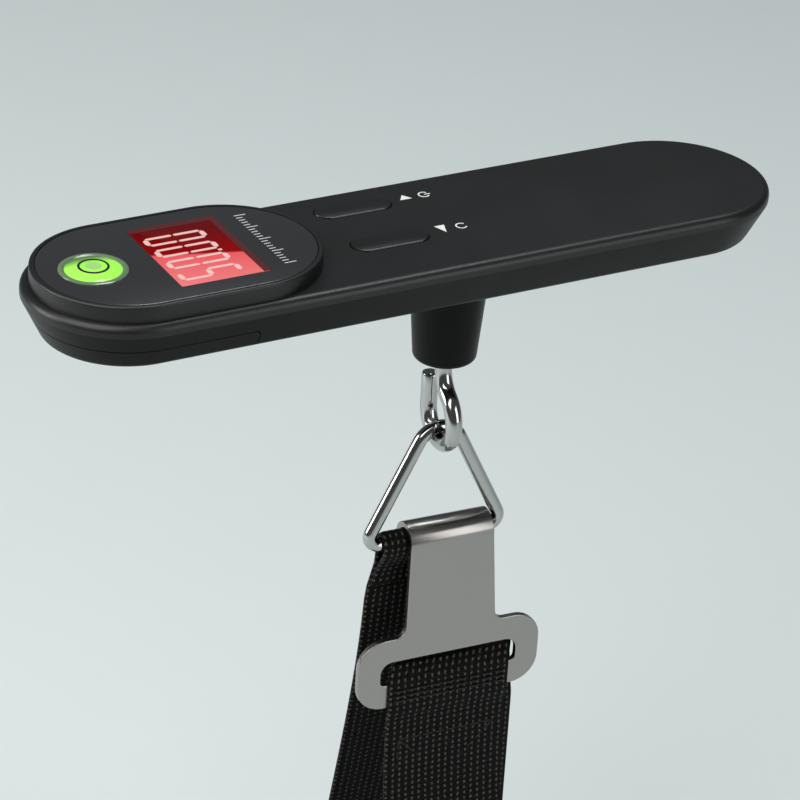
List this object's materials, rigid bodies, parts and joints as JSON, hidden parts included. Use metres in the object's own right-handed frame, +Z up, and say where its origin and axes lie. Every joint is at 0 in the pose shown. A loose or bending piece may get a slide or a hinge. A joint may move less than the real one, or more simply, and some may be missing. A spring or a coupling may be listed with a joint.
{
  "type": "digital luggage scale",
  "caption": "Handheld hanging scale: slim round-ended grip with raised display head, buttons, level bubble, swivelling load hook, triangular ring, hook plate and webbing strap loop.",
  "frame": {"origin": "on the load line, at the height of the joint between the two halves of the handle", "axes": "+Z up, X along the handle with +X towards the plain end of the grip, +Y towards the back"},
  "size_m": [0.146, 0.0378, 0.1911],
  "materials": {
    "case_top": "satin",
    "case_bottom": "satin",
    "lens": "semi-gloss tinted",
    "inner_plastic": "matt",
    "lcd": "gloss",
    "backlight": "diffuse",
    "elastomer": "matt",
    "vial": "clear acrylic",
    "fluid": "liquid",
    "buttons": "satin",
    "plated": "nickel plated",
    "board": "solder mask",
    "potting": "epoxy",
    "contact": "plain",
    "aluminium": "milled",
    "gauge_white": "silicone",
    "polished_steel": "polished",
    "plate_steel": "satin",
    "webbing": "woven polyester"
  },
  "bodies": {
    "handle": {"upper_shell": "case_top", "lower_shell": "case_bottom", "display_lens": "lens", "lcd_frame": "inner_plastic", "lcd_panel": "lcd", "lcd_backlight": "backlight", "zebra_connector": "elastomer", "vial_body": "vial", "vial_fluid": "fluid", "tact_switches": "plated", "main_board": "board", "controller_chip": "potting", "battery_holder": "inner_plastic", "coin_cell": "plated", "cell_contact_negative": "contact", "cell_contact_positive": "contact", "load_cell": "aluminium", "load_cell_bracket": "plated", "load_cell_screws": "plated", "gauge_cover": "gauge_white", "gauge_lead": "gauge_white", "case_screws": "plated", "hook_bush": "contact", "thrust_washer": "plated"},
    "door": {"battery_door": "case_bottom"},
    "power_key": {"power_button": "buttons"},
    "unit_key": {"unit_button": "buttons"},
    "swivel": {"hook": "polished_steel", "hook_nut": "plated"},
    "link": {"ring": "polished_steel"},
    "sling": {"hook_plate": "plate_steel", "strap": "webbing"}
  },
  "joints": [
    {"name": "hook_swivel", "type": "hinge", "parent": "handle", "child": "swivel", "pos_m": [0, 0, 0], "axis": [0, 0, 1], "continuous": true},
    {"name": "ring_swing", "type": "hinge", "parent": "swivel", "child": "link", "pos_m": [-0.00002, -0.0003, -0.0429], "axis": [0.061, 0.9981, 0], "range_deg": [-60, 60]},
    {"name": "sling_tilt", "type": "hinge", "parent": "link", "child": "sling", "pos_m": [-0.00002, -0.0003, -0.06306], "axis": [0.9981, -0.061, 0], "range_deg": [-40, 40]},
    {"name": "power_press", "type": "slide", "parent": "handle", "child": "power_key", "axis": [0, 0, -1], "range_m": [0, 0.00025], "stiffness_N_per_m": 800},
    {"name": "unit_press", "type": "slide", "parent": "handle", "child": "unit_key", "axis": [0, 0, -1], "range_m": [0, 0.00025], "stiffness_N_per_m": 800},
    {"name": "door_slide", "type": "slide", "parent": "handle", "child": "door", "axis": [-1, 0, 0], "range_m": [0, 0.0035]}
  ]
}
